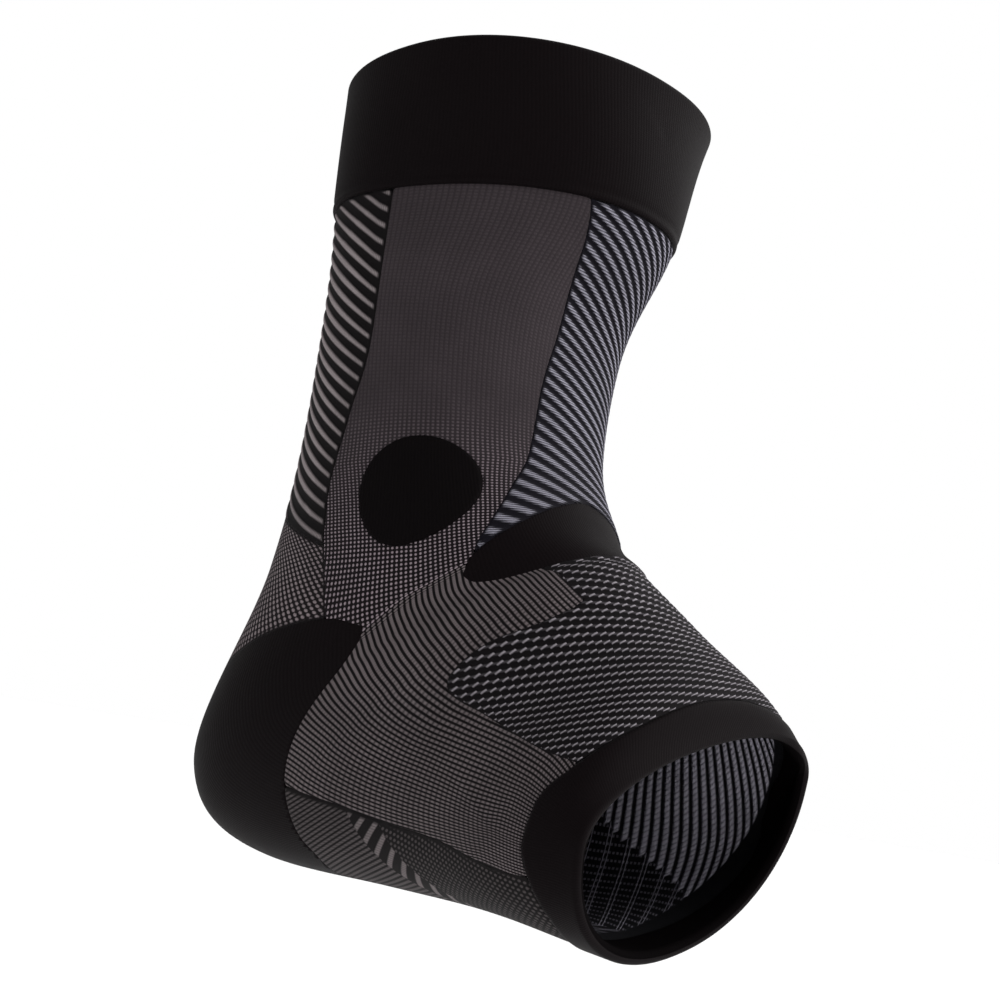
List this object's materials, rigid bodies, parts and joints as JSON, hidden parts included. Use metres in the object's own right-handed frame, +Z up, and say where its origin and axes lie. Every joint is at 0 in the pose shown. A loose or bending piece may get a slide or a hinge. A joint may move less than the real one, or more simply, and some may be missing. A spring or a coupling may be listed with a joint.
{
  "type": "ankle sleeve",
  "caption": "Knitted compression ankle sleeve from the lower calf to the midfoot, open at the toes, with smooth end cuffs, a closed heel cup, oval pads over the ankle bones and a band round the front of the ankle.",
  "frame": {"origin": "between the ankle bones, inside the hollow for the leg", "axes": "+Z up the leg, +X towards the toes, +Y towards the inner side of the foot"},
  "size_m": [0.1624, 0.0971, 0.2129],
  "materials": {
    "smooth_knit": "matte",
    "pad_knit": "matte",
    "mesh_knit": "matte",
    "stripe_knit": "matte",
    "rope_knit": "matte",
    "rib_knit": "matte",
    "dash_knit": "matte"
  },
  "bodies": {
    "root": {"top_cuff": "smooth_knit", "toe_cuff": "smooth_knit", "heel_cup": "smooth_knit", "ankle_band": "smooth_knit", "ankle_pad_lateral": "pad_knit", "ankle_pad_medial": "pad_knit", "side_panel_lateral": "mesh_knit", "side_panel_medial": "mesh_knit", "heel_back_panel": "mesh_knit", "achilles_panel": "stripe_knit", "front_leg_panel": "rope_knit", "arch_panel_lateral": "rib_knit", "arch_panel_medial": "rib_knit", "instep_panel": "dash_knit", "sole_panel": "dash_knit"}
  },
  "joints": []
}
